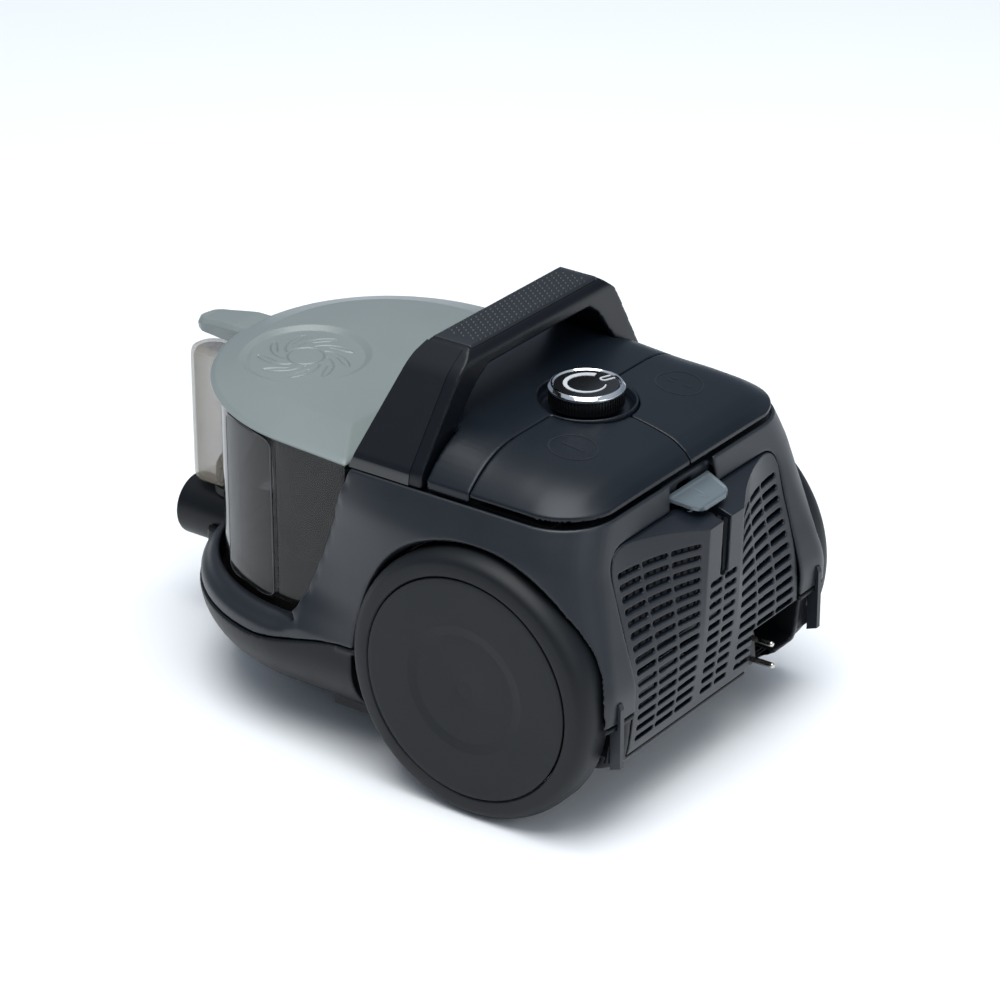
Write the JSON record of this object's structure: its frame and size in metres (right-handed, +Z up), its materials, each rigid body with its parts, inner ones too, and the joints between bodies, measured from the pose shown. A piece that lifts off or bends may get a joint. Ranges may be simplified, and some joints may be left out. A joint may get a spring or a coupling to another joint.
{
  "type": "canister vacuum cleaner",
  "caption": "Canister vacuum cleaner with a clear cyclone bin, lid lever, carry handle, deck pedals, suction knob, large rear wheels and a rear exhaust grille.",
  "frame": {"origin": "on the floor, under the middle of the whole cleaner's box", "axes": "+Z up, hose inlet towards -Y, exhaust grille towards +Y, +X is the cleaner's own left with the hose inlet in front"},
  "size_m": [0.298, 0.448, 0.294],
  "materials": {
    "casing": "fine matte, charcoal",
    "deck": "fine matte, charcoal",
    "handle": "matte black",
    "grip": "soft, dimpled",
    "gloss_trim": "gloss black",
    "inner_plastic": "plain moulded",
    "nozzle": "matte black",
    "seal": "soft black",
    "steel": "turned steel",
    "spring_steel": "drawn wire",
    "wheel_disc": "matte charcoal",
    "tyre": "soft matte black",
    "bin_clear": "clear, smoke tinted",
    "duct_clear": "clear, smoke tinted",
    "cyclone": "dark moulded",
    "lid_grey": "satin sage grey",
    "knob_black": "ribbed, matte black",
    "chrome": "bright",
    "grille": "matte dark grey",
    "latch_silver": "satin silver grey",
    "filter_media": "pleated paper and foam",
    "copper": "enamelled copper windings",
    "fan_metal": "pressed",
    "board_green": "lacquered board",
    "reel_plastic": "plain moulded",
    "cord_rubber": "black sheath",
    "pin_metal": "nickel plated"
  },
  "bodies": {
    "chassis": {"base_tray": "casing", "upper_body": "casing", "deck_cover": "deck", "bulkhead": "inner_plastic", "control_frame": "inner_plastic", "casing_screws": "steel", "carry_handle": "handle", "grip_insert": "grip", "handle_trims": "gloss_trim", "inlet_tube": "nozzle", "inlet_seal": "seal", "stand_ribs": "casing", "stub_axles": "steel", "axle_collars": "steel", "caster_bush": "steel", "pedal_pin": "steel", "pedal_springs": "spring_steel", "knob_switch": "inner_plastic", "exhaust_filter": "filter_media", "filter_frame": "inner_plastic", "motor_housing": "inner_plastic", "motor_mounts": "seal", "motor_bearings": "steel", "motor_stator": "copper", "pre_filter": "filter_media", "circuit_board": "board_green", "rewind_spring": "spring_steel", "reel_axle": "steel", "reel_bracket": "inner_plastic", "plug_body": "cord_rubber", "plug_pins": "pin_metal"},
    "wheel_left": {"hub_left": "wheel_disc", "tyre_left": "tyre"},
    "wheel_right": {"hub_right": "wheel_disc", "tyre_right": "tyre"},
    "caster_swivel": {"caster_fork": "wheel_disc", "caster_axle": "steel"},
    "caster_roller": {"caster_wheel": "tyre"},
    "bin": {"bin_shell": "bin_clear", "inlet_duct": "duct_clear", "cyclone_cone": "cyclone", "shroud": "cyclone", "lid_seal": "seal", "lid_pin": "steel", "lever_spring": "spring_steel"},
    "lid": {"bin_lid": "lid_grey", "lever_pin": "steel"},
    "lever": {"lid_lever": "lid_grey"},
    "power_button": {"power_pedal": "deck"},
    "cord_button": {"cord_pedal": "deck"},
    "knob": {"knob_body": "knob_black", "knob_ring": "chrome", "knob_pointer": "chrome"},
    "grille": {"exhaust_grille": "grille", "latch_springs": "spring_steel"},
    "latch": {"grille_latch": "latch_silver"},
    "rotor": {"motor_rotor": "steel", "motor_fan": "fan_metal"},
    "reel": {"reel_drum": "reel_plastic", "wound_cord": "cord_rubber"}
  },
  "joints": [
    {"name": "wheel_left_spin", "type": "hinge", "parent": "chassis", "child": "wheel_left", "pos_m": [0.13, 0.122, 0.094], "axis": [1, 0, 0], "continuous": true},
    {"name": "wheel_right_spin", "type": "hinge", "parent": "chassis", "child": "wheel_right", "pos_m": [-0.13, 0.122, 0.094], "axis": [1, 0, 0], "continuous": true},
    {"name": "caster_turn", "type": "hinge", "parent": "chassis", "child": "caster_swivel", "pos_m": [0, -0.104, 0.05], "axis": [0, 0, 1], "continuous": true},
    {"name": "caster_roll", "type": "hinge", "parent": "caster_swivel", "child": "caster_roller", "pos_m": [0, -0.095, 0.014], "axis": [1, 0, 0], "continuous": true},
    {"name": "bin_lift", "type": "slide", "parent": "chassis", "child": "bin", "axis": [0, 0, 1], "range_m": [0, 0.1]},
    {"name": "lid_open", "type": "hinge", "parent": "bin", "child": "lid", "pos_m": [0, 0.009, 0.211], "axis": [-1, 0, 0], "range_deg": [0, 55]},
    {"name": "lever_press", "type": "hinge", "parent": "lid", "child": "lever", "pos_m": [0, -0.158, 0.218], "axis": [1, 0, 0], "range_deg": [0, 4], "stiffness_Nm_per_rad": 1.5, "springref_deg": -4.58},
    {"name": "power_press", "type": "hinge", "parent": "chassis", "child": "power_button", "pos_m": [0.066, 0.119, 0.226], "axis": [-1, 0, 0], "range_deg": [0, 2], "stiffness_Nm_per_rad": 4, "springref_deg": -2.86},
    {"name": "cord_press", "type": "hinge", "parent": "chassis", "child": "cord_button", "pos_m": [-0.066, 0.119, 0.226], "axis": [-1, 0, 0], "range_deg": [0, 2], "stiffness_Nm_per_rad": 4, "springref_deg": -2.86},
    {"name": "knob_turn", "type": "hinge", "parent": "chassis", "child": "knob", "pos_m": [0, 0.113, 0.245], "axis": [0, 0, 1], "range_deg": [-270, 0]},
    {"name": "grille_open", "type": "hinge", "parent": "chassis", "child": "grille", "pos_m": [0, 0.2145, 0.0555], "axis": [-1, 0, 0], "range_deg": [0, 60]},
    {"name": "latch_press", "type": "slide", "parent": "grille", "child": "latch", "axis": [0, 0, -1], "range_m": [0, 0.0025], "stiffness_N_per_m": 400, "springref_m": -0.003},
    {"name": "rotor_spin", "type": "hinge", "parent": "chassis", "child": "rotor", "pos_m": [0, 0.09, 0.104], "axis": [0, 1, 0], "continuous": true},
    {"name": "reel_spin", "type": "hinge", "parent": "chassis", "child": "reel", "pos_m": [0, 0.09, 0.18], "axis": [0, 0, 1], "continuous": true}
  ]
}
